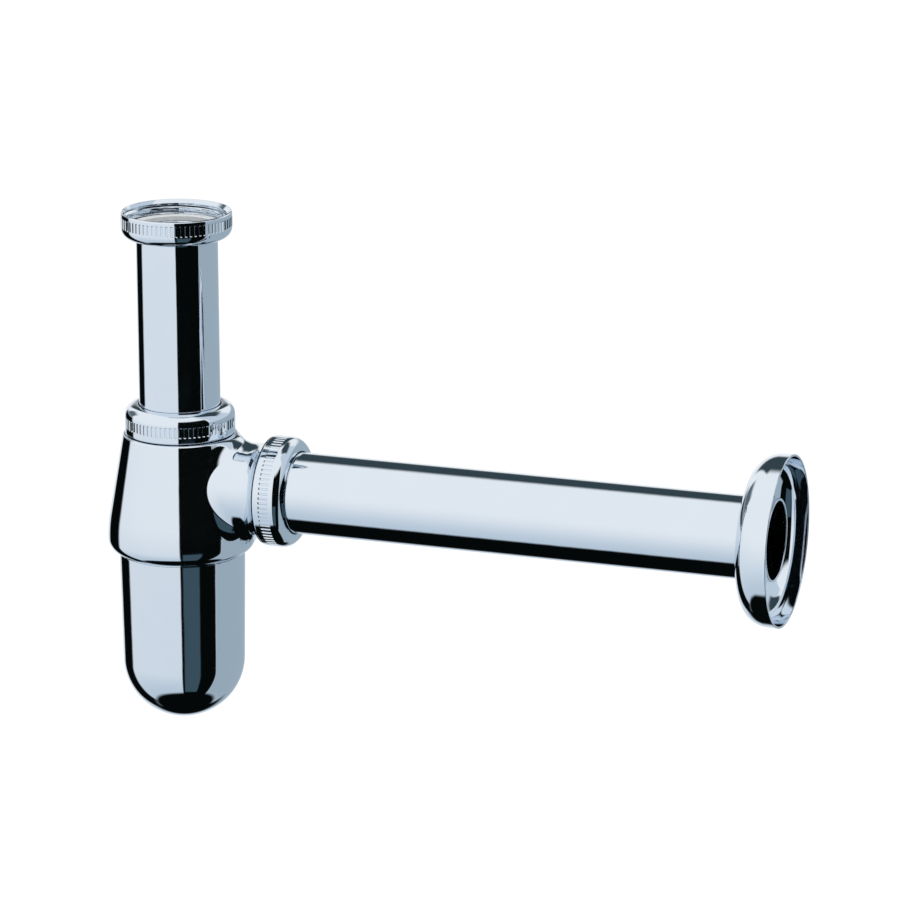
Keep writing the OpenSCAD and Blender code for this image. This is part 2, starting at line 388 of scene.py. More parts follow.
@dataclass(frozen=True)
class ChromePlate:
    """Bright chrome plate over polished brass, with faint drift in its polish."""

    name: str
    tint: tuple[float, float, float] = (0.745, 0.815, 0.888)
    roughness: float = 0.035
    haze: float = 0.03
    ripple: float = 0.0006

    def material(self) -> bpy.types.Material:
        """Builds the finish's node material.

        Returns:
            The new material.
        """
        mat = bpy.data.materials.new(self.name)
        mat.use_nodes = True
        nodes = mat.node_tree.nodes
        links = mat.node_tree.links
        shader = nodes["Principled BSDF"]
        shader.inputs["Metallic"].default_value = 1.0
        coords = nodes.new("ShaderNodeTexCoord")

        cloud = nodes.new("ShaderNodeTexNoise")
        cloud.inputs["Scale"].default_value = 70.0
        cloud.inputs["Detail"].default_value = 4.0
        links.new(coords.outputs["Object"], cloud.inputs["Vector"])
        colour = nodes.new("ShaderNodeMix")
        colour.data_type = "RGBA"
        colour.inputs[6].default_value = (*self.tint, 1.0)
        colour.inputs[7].default_value = (*[c * 0.965 for c in self.tint], 1.0)
        links.new(cloud.outputs["Fac"], colour.inputs[0])
        links.new(colour.outputs[2], shader.inputs["Base Color"])

        polish = nodes.new("ShaderNodeMapRange")
        polish.inputs["From Min"].default_value = 0.35
        polish.inputs["From Max"].default_value = 0.75
        polish.inputs["To Min"].default_value = self.roughness
        polish.inputs["To Max"].default_value = self.roughness + self.haze
        links.new(cloud.outputs["Fac"], polish.inputs["Value"])
        links.new(polish.outputs["Result"], shader.inputs["Roughness"])

        swell = nodes.new("ShaderNodeTexNoise")
        swell.inputs["Scale"].default_value = 120.0
        swell.inputs["Detail"].default_value = 1.0
        links.new(coords.outputs["Object"], swell.inputs["Vector"])
        bump = nodes.new("ShaderNodeBump")
        bump.inputs["Strength"].default_value = 0.05
        bump.inputs["Distance"].default_value = self.ripple
        links.new(swell.outputs["Fac"], bump.inputs["Height"])
        links.new(bump.outputs["Normal"], shader.inputs["Normal"])
        return mat


@dataclass(frozen=True)
class SoftFinish:
    """Moulded rubber or plastic: a dull colour with a fine grain."""

    name: str
    dark: tuple[float, float, float]
    pale: tuple[float, float, float]
    roughness: float
    grain: float

    def material(self) -> bpy.types.Material:
        """Builds the finish's node material.

        Returns:
            The new material.
        """
        mat = bpy.data.materials.new(self.name)
        mat.use_nodes = True
        nodes = mat.node_tree.nodes
        links = mat.node_tree.links
        shader = nodes["Principled BSDF"]
        coords = nodes.new("ShaderNodeTexCoord")
        mottle = nodes.new("ShaderNodeTexNoise")
        mottle.inputs["Scale"].default_value = 400.0
        mottle.inputs["Detail"].default_value = 5.0
        links.new(coords.outputs["Object"], mottle.inputs["Vector"])
        colour = nodes.new("ShaderNodeMix")
        colour.data_type = "RGBA"
        colour.inputs[6].default_value = (*self.dark, 1.0)
        colour.inputs[7].default_value = (*self.pale, 1.0)
        links.new(mottle.outputs["Fac"], colour.inputs[0])
        links.new(colour.outputs[2], shader.inputs["Base Color"])
        dull = nodes.new("ShaderNodeMapRange")
        dull.inputs["To Min"].default_value = self.roughness - 0.06
        dull.inputs["To Max"].default_value = self.roughness + 0.06
        links.new(mottle.outputs["Fac"], dull.inputs["Value"])
        links.new(dull.outputs["Result"], shader.inputs["Roughness"])
        bump = nodes.new("ShaderNodeBump")
        bump.inputs["Strength"].default_value = 0.25
        bump.inputs["Distance"].default_value = self.grain
        links.new(mottle.outputs["Fac"], bump.inputs["Height"])
        links.new(bump.outputs["Normal"], shader.inputs["Normal"])
        return mat


@dataclass(frozen=True)
class Finishes:
    """The trap's finishes, built once and shared by its pieces."""

    chrome: bpy.types.Material
    rubber: bpy.types.Material
    plastic: bpy.types.Material

    @classmethod
    def build(cls) -> "Finishes":
        """Builds every finish.

        Returns:
            The finishes.
        """
        rubber = SoftFinish("seal_rubber", (0.018, 0.018, 0.019), (0.04, 0.04, 0.042), 0.62, 2e-4)
        plastic = SoftFinish("washer_plastic", (0.66, 0.68, 0.69), (0.78, 0.8, 0.81), 0.42, 1e-4)
        return cls(ChromePlate("chrome").material(), rubber.material(), plastic.material())


def dress(obj: bpy.types.Object, node: str, finish: bpy.types.Material) -> None:
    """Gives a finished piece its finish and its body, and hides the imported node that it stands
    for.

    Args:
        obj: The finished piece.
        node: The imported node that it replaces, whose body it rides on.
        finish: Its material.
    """
    obj.data.materials.clear()
    obj.data.materials.append(finish)
    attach(obj, node)
    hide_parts(node)
    LOG.info("%s: %d faces", obj.name, len(obj.data.polygons))


@dataclass
class CompressionNut:
    """A domed, ribbed nut that clamps a tube's seal on a threaded end."""

    node: str
    axis: Axis
    drop: float
    bore_r: float = 19.476
    lip_r: float = 16.4
    lip: float = 1.6
    dome: float = 4.5
    rim: float = 0.7
    belt_edge: float = 2.6
    belt: float = 4.2
    edge: float = 0.2

    def build(self, finishes: Finishes) -> bpy.types.Object:
        """Turns the nut, cuts its ribs and thread, and dresses it.

        Args:
            finishes: The trap's finishes.

        Returns:
            The finished nut.
        """
        along = 0 if self.axis is Axis.OUTLET else 2
        size = extent(self.node, along)
        low = size.low + (self.drop if along == 2 else 0)
        high = size.high + (self.drop if along == 2 else 0)
        radius = size.radius
        outline = rounded([
            Corner(self.bore_r + 0.5, low, 0.15),
            Corner(radius, low, self.rim),
            Corner(radius, high, self.dome),
            Corner(self.lip_r, high, self.edge),
            Corner(self.lip_r, high - self.lip, self.edge),
            Corner(self.bore_r, high - self.lip),
            Corner(self.bore_r, low + 0.5),
        ])
        belt = RibbedBelt(low + self.belt_edge, low + self.belt_edge + self.belt)
        outline = refined(outline, (radius - 0.1, belt.low - 0.3), (radius, belt.high + 0.3), 0.15)
        outline = refined(outline, (19, low + 0.5), (self.bore_r + 0.1, high - self.lip), 0.23)
        nut = spin_outline(f"{self.node}_turned", outline, belt.count * 8)
        belt.carve(nut, radius)
        Thread(self.bore_r, low + 0.3, high - self.lip - 0.2, 2.309, 1.0).cut(nut)
        lay(nut, self.axis, self.drop)
        smooth(nut)
        dress(nut, self.node, finishes.chrome)
        return nut


@dataclass
class InletJoint:
    """The loose ribbed nut, its flat washer, and the inlet tube with its turned-out collar."""

    drop: float
    tube_bore_r: float = 15.0
    tube_r: float = 16.0
    thread_r: float = 19.476
    relief_r: float = 19.876
    lip_r: float = 16.4
    lip: float = 1.6
    bevel: float = 4.1
    rim: float = 0.7
    lead_in: float = 1.4
    belt_edge: float = 1.7
    belt: float = 4.2
    washer_bore_r: float = 15.5
    washer_t: float = 2.0
    collar_t: float = 1.2

    def build(self, finishes: Finishes) -> None:
        """Builds and dresses the three pieces.

        Args:
            finishes: The trap's finishes.
        """
        nut = self.nut_mesh()
        dress(nut, "inlet_nut", finishes.chrome)
        washer = self.washer_mesh()
        dress(washer, "inlet_washer", finishes.plastic)
        tube = self.tube_mesh()
        dress(tube, "inlet_tube", finishes.chrome)

    def nut_mesh(self) -> bpy.types.Object:
        """Turns the loose nut and cuts its ribs and thread.

        Returns:
            The nut's object.
        """
        size = extent("inlet_nut")
        radius = size.radius
        outline = rounded([
            Corner(self.lip_r, size.low, 0.3),
            Corner(radius, size.low, self.bevel),
            Corner(radius, size.high, self.rim),
            Corner(self.thread_r + self.lead_in, size.high, 0.1),
            Corner(self.thread_r, size.high - self.lead_in),
            Corner(self.thread_r, 0.0),
            Corner(self.relief_r, 0.0),
            Corner(self.relief_r, size.low + self.lip),
            Corner(self.lip_r, size.low + self.lip, 0.3),
        ])
        top = size.high - self.belt_edge
        belt = RibbedBelt(top - self.belt, top)
        outline = refined(outline, (radius - 0.1, belt.low - 0.3), (radius, belt.high + 0.3), 0.15)
        outline = refined(outline, (19, 0), (self.thread_r + 0.05, size.high - self.lead_in), 0.2)
        nut = spin_outline("inlet_nut_turned", outline, belt.count * 8)
        belt.carve(nut, radius)
        Thread(self.thread_r, -0.4, size.high - self.lead_in + 0.6, 2.309, 1.1).cut(nut, 0.3)
        smooth(nut)
        return nut

    def washer_mesh(self) -> bpy.types.Object:
        """Turns the flat washer.

        Returns:
            The washer's object.
        """
        size = extent("inlet_washer")
        outline = rounded([
            Corner(self.washer_bore_r, size.low, 0.25),
            Corner(size.radius, size.low, 0.25),
            Corner(size.radius, size.high, 0.25),
            Corner(self.washer_bore_r, size.high, 0.25),
        ])
        washer = spin_outline("inlet_washer_turned", outline, TUBE_STEPS)
        smooth(washer)
        return washer

    def tube_mesh(self) -> bpy.types.Object:
        """Turns the inlet and dip tube with its collar.

        Returns:
            The tube's object.
        """
        size = extent("inlet_tube")
        outline = rounded([
            Corner(self.tube_bore_r, size.low, 0.3),
            Corner(self.tube_r, size.low, 0.3),
            Corner(self.tube_r, size.high - self.collar_t, 0.4),
            Corner(size.radius, size.high - self.collar_t, 0.25),
            Corner(size.radius, size.high, 0.25),
            Corner(self.tube_bore_r, size.high, 0.5),
        ])
        tube = spin_outline("inlet_tube_turned", outline, TUBE_STEPS)
        smooth(tube)
        return tube


class Skin:
    """A turned outline as a signed distance, so that two castings can flow into one."""

    def __init__(self, points: list[Point], axis: Axis) -> None:
        """Keeps the outline.

        Args:
            points: Its points, with the metal on the side of smaller radius.
            axis: The axis that it is turned about.
        """
        self.points = np.array(points)
        self.axis = axis

    def distance(self, where: np.ndarray) -> np.ndarray:
        """Signed distance from the skin, outwards positive.

        Args:
            where: Points in millimetres, about the crossing of the two axes.

        Returns:
            One distance for each point.
        """
        along = where[:, 0] if self.axis is Axis.OUTLET else where[:, 2]
        across = where[:, 2] if self.axis is Axis.OUTLET else where[:, 0]
        flat = np.stack([np.hypot(across, where[:, 1]), along], 1)
        best = np.full(len(flat), 1e9)
        sign = np.ones(len(flat))
        for start, end in zip(self.points[:-1], self.points[1:]):
            run = end - start
            share = np.clip((flat - start) @ run / (run @ run), 0, 1)
            gap = flat - start - share[:, None] * run
            length = np.hypot(gap[:, 0], gap[:, 1])
            side = gap[:, 0] * abs(run[1]) - gap[:, 1] * run[0] * np.sign(run[1])
            nearer = length < best - 1e-9
            best = np.where(nearer, length, best)
            sign = np.where(nearer, np.where(side >= 0, 1.0, -1.0), sign)
        return best * sign


@dataclass
class TrapBody:
    """The bell-shaped casting with its threaded neck and its flared, threaded branch."""

    drop: float
    shoulder_z: float = 20.4
    shoulder_r: float = 0.9
    top_r: float = 22.746
    bell_r: float = 29.2
    turn_z: float = -12.8
    turn_in: float = 0.8
    corner_z: float = -22.2
    corner_r: float = 5.5
    wall: float = 2.2
    spigot_r: float = 19.226
    seat: float = 7.9
    branch_r: float = 18.0
    flare_r: float = 21.326
    flare_x: float = 38.0
    flare_curve: float = 8.0
    bore_r: float = 16.5
    mouth_r: float = 18.3
    mouth_depth: float = 3.7
    roof_z: float = 17.1
    roof_rise: float = 2.0
    cup_thread_r: float = 24.7
    ledge_r: float = 21.0
    ledge_z: float = -18.6
    ledge_t: float = 2.0
    flow_r: float = 8.5
    steps: int = 256
    edge_gap: float = 0.3
    pitch: float = 2.309
    cup_pitch: float = 2.0

    @property
    def below(self) -> float:
        """Height of the bell's lower end."""
        return self.corner_z - self.corner_r

    def flank(self, height: float) -> float:
        """Works out the bell's flank.

        Args:
            height: Height above the outlet's level, over the bell's lower corner.

        Returns:
            The flank's radius there.
        """
        if height > self.turn_z:
            base = self.bell_r - self.turn_in
            slope = (base - self.top_r) / (self.shoulder_z - self.shoulder_r - self.turn_z)
            return base - slope * (height - self.turn_z)
        share = (height - self.corner_z) / (self.turn_z - self.corner_z)
        return self.bell_r - self.turn_in * share * share

    def bell_side(self, top: float, step: float) -> list[Point]:
        """The bell's side, from top down to its lower end.

        Args:
            top: Height that the side starts from.
            step: Distance between rows.

        Returns:
            Points from the top to where the lower corner ends.
        """
        straight = np.linspace(top, self.turn_z, math.ceil((top - self.turn_z) / step) + 1)
        curved = np.linspace(self.turn_z, self.corner_z, 13)[1:-1]
        heights = [float(z) for z in (*straight, *curved)]
        side = [(self.flank(z), z) for z in heights]
        return side + arc((self.bell_r - self.corner_r, self.corner_z), self.corner_r, 0, -90, 18)

    def branch_side(self, step: float) -> list[Point]:
        """The branch's side, from the trap's axis out to its flared end.

        Args:
            step: Distance between rows.

        Returns:
            Points from the axis outwards.
        """
        angle = math.acos(1 - (self.flare_r - self.branch_r) / self.flare_curve)
        start = self.flare_x - self.flare_curve * math.sin(angle)
        rows = np.linspace(12.0, start, math.ceil((start - 12.0) / step) + 1)[:-1]
        centre = (self.branch_r + self.flare_curve, start)
        flare = arc(centre, self.flare_curve, 180, 180 - math.degrees(angle), 14)
        return [(self.branch_r, float(x)) for x in rows] + flare

    def bell_solid(self) -> bpy.types.Object:
        """Turns the solid bell with its threaded neck.

        Returns:
            Its object, with heights from the outlet's level.
        """
        top = self.shoulder_z + self.edge_gap + self.seat
        shoulder = arc((self.top_r - self.shoulder_r, self.shoulder_z - self.shoulder_r),
                       self.shoulder_r, 90, 10, 8)
        flat = [(float(r), self.shoulder_z)
                for r in np.linspace(self.spigot_r, self.top_r - self.shoulder_r, 8)[:-1]]
        neck = refined([(self.spigot_r, top - 0.5), (self.spigot_r, self.shoulder_z)],
                       (19, self.shoulder_z), (20, top), 0.25)
        neck = [p for p in neck if p[1] > self.shoulder_z + 1e-6]
        neck = sorted(set(neck), key=lambda p: -p[1])
        outline = [(0.0, top), (self.spigot_r - 0.5, top), *neck, *flat, *shoulder]
        outline += self.bell_side(self.shoulder_z - self.shoulder_r, 0.7)
        outline.append((0.0, self.below))
        bell = spin_outline("trap_body_cast", outline, self.steps)
        Thread(self.spigot_r, self.shoulder_z + 0.2, top, self.pitch, -1.1).cut(bell)
        return bell

    def branch_solid(self) -> bpy.types.Object:
        """Turns the solid branch with its threaded end.

        Returns:
            Its object, drawn up Z from the trap's axis.
        """
        end = self.flare_x + self.edge_gap + self.seat
        rows = refined([(self.spigot_r, self.flare_x), (self.spigot_r, end - 0.5)],
                       (19, self.flare_x), (20, end), 0.25)
        rows = sorted(set(rows), key=lambda p: p[1])
        outline = [(0.0, 12.0), *self.branch_side(0.65), (self.flare_r - 0.1, self.flare_x)]
        outline += [*rows, (self.spigot_r - 0.5, end), (0.0, end)]
        branch = spin_outline("branch_cast", outline, TUBE_STEPS)
        Thread(self.spigot_r, self.flare_x + 0.2, end, self.pitch, -1.1).cut(branch)
        lay(branch, Axis.OUTLET, 0.0)
        return branch

    def chamber_cutter(self) -> bpy.types.Object:
        """Turns the room inside the bell, with the neck's bore and the cup's thread.

        Returns:
            Its object, with heights from the outlet's level.
        """
        top = self.shoulder_z + self.edge_gap + self.seat
        low = self.below - 0.6
        taper = self.mouth_depth / 3.0
        outline = [
            (0.0, top + 1), (self.mouth_r, top + 1), (self.mouth_r, top),
            (self.mouth_r - taper, top - self.mouth_depth), (self.bore_r, top - self.mouth_depth),
            (self.bore_r, self.roof_z),
            (self.flank(self.roof_z) - self.wall, self.roof_z - self.roof_rise),
            (self.flank(self.turn_z) - self.wall, self.turn_z),
            (self.flank(self.ledge_z + self.ledge_t) - self.wall, self.ledge_z + self.ledge_t),
            (self.ledge_r, self.ledge_z + self.ledge_t), (self.ledge_r, self.ledge_z),
            (self.cup_thread_r, self.ledge_z), (self.cup_thread_r, low), (0.0, low),
        ]
        outline = refined(outline, (24.6, low), (24.8, self.ledge_z), 0.22)
        room = spin_outline("chamber_cutter", outline, self.steps)
        Thread(self.cup_thread_r, self.below + 0.3, self.ledge_z, self.cup_pitch, 0.9).cut(room)
        return room

    def bore_cutter(self) -> bpy.types.Object:
        """Turns the branch's bore with the conical mouth for its seal.

        Returns:
            Its object, along the outlet axis.
        """
        end = self.flare_x + self.edge_gap + self.seat
        taper = self.mouth_depth / 3.0
        outline = [
            (0.0, end + 1), (self.mouth_r, end + 1), (self.mouth_r, end),
            (self.mouth_r - taper, end - self.mouth_depth), (self.bore_r, end - self.mouth_depth),
            (self.bore_r, 7.0), (0.0, 7.0),
        ]
        bore = spin_outline("bore_cutter", outline, TUBE_STEPS)
        lay(bore, Axis.OUTLET, 0.0)
        return bore

    def surface(self, bell: Skin, branch: Skin, where: np.ndarray) -> np.ndarray:
        """How far points lie outside the casting, with the flow between bell and branch.

        Args:
            bell: The bell's side, carried on above the shoulder.
            branch: The branch's side.
            where: Points in millimetres about the crossing of the axes.

        Returns:
            One signed distance for each point.
        """
        reach = self.flow_r
        first = bell.distance(where)
        second = branch.distance(where)
        nudge = 0.02
        lean = np.zeros(len(where))
        for side in range(3):
            step = np.zeros(3)
            step[side] = nudge
            one = (bell.distance(where + step) - first) / nudge
            two = (branch.distance(where + step) - second) / nudge
            lean += one * two
        lean = np.clip(lean, 0.0, 0.97)
        in_one = np.maximum(reach - first, 0)
        in_two = np.maximum(reach - second, 0)
        both = (in_one > lean * in_two) & (in_two > lean * in_one) & (in_one > 0) & (in_two > 0)
        square = (in_one**2 + in_two**2 - 2 * lean * in_one * in_two) / (1 - lean**2)
        flow = np.where(both, reach - np.sqrt(np.maximum(square, 0)), np.minimum(first, second))
        top = where[:, 2] - self.shoulder_z
        edge = self.shoulder_r
        corner = np.hypot(np.maximum(flow + edge, 0), np.maximum(top + edge, 0))
        return np.minimum(np.maximum(flow, top), -edge) + corner

    def slope(self, bell: Skin, branch: Skin, where: np.ndarray) -> np.ndarray:
        """Finds which way the casting's surface distance grows.

        Args:
            bell: The bell's side, carried on above the shoulder.
            branch: The branch's side.
            where: Points in millimetres about the crossing of the axes.

        Returns:
            One unit direction for each point.
        """
        nudge = 0.01
        grown = []
        for side in range(3):
            step = np.zeros(3)
            step[side] = nudge
            ahead = self.surface(bell, branch, where + step)
            grown.append(ahead - self.surface(bell, branch, where - step))
        way = np.stack(grown, 1)
        return way / np.maximum(np.linalg.norm(way, axis=1), 1e-9)[:, None]

    def flow_together(self, body: bpy.types.Object, bell: Skin, branch: Skin) -> None:
        """Moves the surface near the crossing out into the cast-in flow between the two forms.

        Args:
            body: The joined casting, about the crossing of the axes.
            bell: The bell's side, carried on above the shoulder.
            branch: The branch's side.
        """
        points = read_points(body)
        rho = np.hypot(points[:, 0], points[:, 1])
        skin = (points[:, 2] < self.shoulder_z + 1e-3) & (points[:, 0] > 5)
        skin &= (rho > self.spigot_r + 0.3) & (points[:, 2] > self.corner_z - 4)
        skin &= points[:, 0] < self.flare_x - 0.2
        index = np.nonzero(skin)[0]
        near = points[index]
        for _ in range(6):
            off = self.surface(bell, branch, near)
            near = near - self.slope(bell, branch, near) * off[:, None]
        points[index] = near
        write_points(body, points)

    def set_normals(self, body: bpy.types.Object, bell: Skin, branch: Skin) -> None:
        """Gives the casting's outer skin the exact normals of its form.

        Args:
            body: The finished casting, about the crossing of the axes.
            bell: The bell's side, carried on above the shoulder.
            branch: The branch's side.
        """
        mesh = body.data
        points = read_points(body)
        near = np.abs(self.surface(bell, branch, points)) < 0.02
        near &= points[:, 0] < self.flare_x - 0.05
        near &= points[:, 2] > self.below + 0.05
        way = np.zeros_like(points)
        index = np.nonzero(near)[0]
        way[index] = self.slope(bell, branch, points[index])
        corners = np.zeros(len(mesh.loops), dtype=np.int64)
        mesh.loops.foreach_get("vertex_index", corners)
        kept = np.zeros(len(mesh.loops) * 3)
        mesh.corner_normals.foreach_get("vector", kept)
        kept = kept.reshape(-1, 3)
        wanted = way[corners]
        agree = near[corners] & (np.einsum("ij,ij->i", wanted, kept) > 0.8)
        kept[agree] = wanted[agree]
        mesh.normals_split_custom_set([tuple(v) for v in kept.tolist()])

    def build(self, finishes: Finishes) -> bpy.types.Object:
        """Joins bell and branch, hollows them and dresses the casting.

        Args:
            finishes: The trap's finishes.

        Returns:
            The finished body.
        """
        bell_skin = Skin(self.bell_side(60.0, 80.0), Axis.OUTLET_LEVEL)
        branch_skin = Skin(self.branch_side(40.0), Axis.OUTLET)
        body = self.bell_solid()
        branch = self.branch_solid()
        combine(body, branch, "UNION")
        self.flow_together(body, bell_skin, branch_skin)
        combine(body, self.chamber_cutter(), "DIFFERENCE")
        combine(body, self.bore_cutter(), "DIFFERENCE")
        smooth(body)
        self.set_normals(body, bell_skin, branch_skin)
        lay(body, Axis.OUTLET_LEVEL, self.drop)
        dress(body, "trap_body", finishes.chrome)
        return body


def combine(body: bpy.types.Object, tool: bpy.types.Object, way: str) -> None:
    """Joins a solid to the body, or takes it away, and removes the tool.

    Args:
        body: The solid that is kept.
        tool: The solid that is joined or taken away.
        way: UNION or DIFFERENCE.
    """
    choose(body)
    modifier = body.modifiers.new(way.lower(), "BOOLEAN")
    modifier.operation = way
    modifier.solver = "EXACT"
    modifier.object = tool
    bpy.ops.object.modifier_apply(modifier=modifier.name)
    mesh = tool.data
    bpy.data.objects.remove(tool)
    bpy.data.meshes.remove(mesh)


@dataclass
class Cup:
    """The screw-on cup with its threaded neck and round end."""

    drop: float
    neck_r: float = 24.4
    shoulder_r: float = 24.9
    round_r: float = 24.2
    wall: float = 1.5
    neck: float = 7.4
    pitch: float = 2.0
    steps: int = 256

    def build(self, finishes: Finishes) -> bpy.types.Object:
        """Turns the cup, cuts its thread and dresses it.

        Args:
            finishes: The trap's finishes.

        Returns:
            The finished cup.
        """
        size = extent("cup")
        rim = size.high + self.drop
        seam = rim - self.neck
        centre = size.low + self.drop + self.round_r
        inner = self.round_r - self.wall
        top = rounded([
            Corner(inner + 0.2, rim, 0.2),
            Corner(self.neck_r, rim, 0.3),
            Corner(self.neck_r, seam),
            Corner(self.shoulder_r, seam, 0.25),
            Corner(self.round_r, centre),
            Corner(inner, centre),
        ])
        outer = arc((0.0, centre), self.round_r, 0, -90, 36)
        hollow = arc((0.0, centre), inner, -90, 0, 36)
        outline = [p for p in top if p[1] > centre + 1e-6] + outer + hollow
        outline = refined(outline, (self.neck_r - 0.05, seam), (self.neck_r + 0.05, rim), 0.22)
        cup = spin_outline("cup_turned", outline, self.steps)
        Thread(self.neck_r, seam + 0.3, rim - 0.2, self.pitch, -0.8).cut(cup)
        lay(cup, Axis.OUTLET_LEVEL, self.drop)
        smooth(cup)
        dress(cup, "cup", finishes.chrome)
        return cup


@dataclass
class OutletTube:
    """The plain tube to the wall."""

    drop: float
    bore_r: float = 15.0

    def build(self, finishes: Finishes) -> bpy.types.Object:
        """Turns the tube and dresses it.

        Args:
            finishes: The trap's finishes.

        Returns:
            The finished tube.
        """
        size = extent("outlet_tube", 0)
        outline = rounded([
            Corner(self.bore_r, size.low, 0.3),
            Corner(size.radius, size.low, 0.3),
            Corner(size.radius, size.high, 0.3),
            Corner(self.bore_r, size.high, 0.3),
        ])
        tube = spin_outline("outlet_tube_turned", outline, TUBE_STEPS)
        lay(tube, Axis.OUTLET, self.drop)
        smooth(tube)
        dress(tube, "outlet_tube", finishes.chrome)
        return tube


@dataclass
class WallFlange:
    """The pressed flange that covers the hole in the wall."""

    drop: float
    hole_r: float = 16.3
    round_r: float = 9.8
    draft: float = 0.4
    sheet: float = 0.9
    steps: int = 256

    def build(self, finishes: Finishes) -> bpy.types.Object:
        """Turns the flange and dresses it.

        Args:
            finishes: The trap's finishes.

        Returns:
            The finished flange.
        """
        size = extent("wall_flange", 0)
        back = size.low
        rim = size.high
        radius = size.radius
        side = radius - self.draft
        outline = rounded([
            Corner(self.hole_r, back, 0.25),
            Corner(side, back, self.round_r),
            Corner(radius, rim, 0.3),
            Corner(radius - self.sheet, rim, 0.3),
            Corner(side - self.sheet, back + self.sheet, self.round_r - self.sheet),
            Corner(self.hole_r, back + self.sheet, 0.25),
        ])
        flange = spin_outline("wall_flange_turned", outline, self.steps)
        lay(flange, Axis.OUTLET, self.drop)
        smooth(flange)
        dress(flange, "wall_flange", finishes.chrome)
        return flange


class Seals:
    """The hidden rings, seals and gasket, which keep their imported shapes."""

    RUBBER = ("body_seal", "outlet_seal", "cup_gasket")
    PLASTIC = ("body_slip_ring", "outlet_slip_ring")

    def build(self, nodes: dict[str, bpy.types.Object], finishes: Finishes) -> None:
        """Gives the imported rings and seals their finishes.

        Args:
            nodes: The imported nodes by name.
            finishes: The trap's finishes.
        """
        for names, finish, slot in (
            (self.RUBBER, finishes.rubber, Slot.RUBBER),
            (self.PLASTIC, finishes.plastic, Slot.PLASTIC),
        ):
            for name in names:
                nodes[name].data.materials.clear()
                nodes[name].data.materials.append(finish)
                LOG.info("%s: packed shape, %s", name, finish.name)


@dataclass(frozen=True)
class Card:
    """A part of the studio that the chrome mirrors, as angles in degrees seen from the trap.

    Turn is measured from the camera's side, positive towards its right, and rise above level.
    Colours are linear, and a card later in the list hides those before it.
    """

    name: str
    turn: tuple[float, float]
    rise: tuple[float, float]
    colour: tuple[float, float, float]
    soft_turn: float = 3.0
    soft_rise: float = 6.0


ALL_ROUND = (-200.0, 200.0)
BLACK = (0.002, 0.003, 0.003)
TEAL = (0.040, 0.063, 0.075)
STUDIO_CARDS = (
    Card("pale_low", ALL_ROUND, (-160, -22), (0.60, 0.68, 0.76), soft_rise=40),
    Card("grey_right", (66, 168), (-58, 12), (0.40, 0.48, 0.54)),
    Card("pale_right_high", (70, 130), (12, 70), (0.65, 0.72, 0.79)),
    Card("teal_right_high", (105, 165), (40, 75), TEAL),
    Card("teal_behind", (165, 203), (14, 56), TEAL),
    Card("black_left", (-150, -112), (-60, 8), BLACK),
    Card("dusk_left", (-142, -116), (8, 32), (0.12, 0.16, 0.18)),
    Card("black_front_right", (-1, 66), (-160, 44), BLACK, soft_turn=1),
    Card("teal_front_low", (4, 34), (-56, -16.5), (0.054, 0.093, 0.118), 1.5, 1),
    Card("black_below", ALL_ROUND, (-160, -58), BLACK, soft_rise=3),
    Card("black_behind_low", (140, 220), (-160, -46), BLACK),
)


class Sums:
    """Adds chains of maths nodes to a node tree."""

    def __init__(self, tree: bpy.types.NodeTree) -> None:
        """Keeps the tree.

        Args:
            tree: The node tree that the nodes go into.
        """
        self.tree = tree

    def do(self, operation: str, *values: bpy.types.NodeSocket | float) -> bpy.types.NodeSocket:
        """Adds one maths node.

        Args:
            operation: The node's operation.
            values: Its inputs, each a number or another node's result.

        Returns:
            Its result.
        """
        node = self.tree.nodes.new("ShaderNodeMath")
        node.operation = operation
        for place, value in enumerate(values):
            if isinstance(value, bpy.types.NodeSocket):
                self.tree.links.new(value, node.inputs[place])
            else:
                node.inputs[place].default_value = value
        return node.outputs["Value"]

    def within(self, angle: bpy.types.NodeSocket, ends: tuple[float, float],
               soft: float) -> bpy.types.NodeSocket:
        """Adds nodes that tell how far an angle lies between two ends, round the full turn.

        Args:
            angle: The angle in degrees.
            ends: The lower and upper end.
            soft: Half the width of the soft edges.

        Returns:
            1 between the ends, falling smoothly to 0 outside them.
        """
        middle, half = (ends[0] + ends[1]) / 2, (ends[1] - ends[0]) / 2
        around = self.do("WRAP", self.do("SUBTRACT", angle, middle), 180.0, -180.0)
        fall = self.tree.nodes.new("ShaderNodeMapRange")
        fall.interpolation_type = "SMOOTHSTEP"
        fall.inputs["From Min"].default_value = half - soft
        fall.inputs["From Max"].default_value = half + soft
        fall.inputs["To Min"].default_value = 1.0
        fall.inputs["To Max"].default_value = 0.0
        self.tree.links.new(self.do("ABSOLUTE", around), fall.inputs["Value"])
        return fall.outputs["Result"]


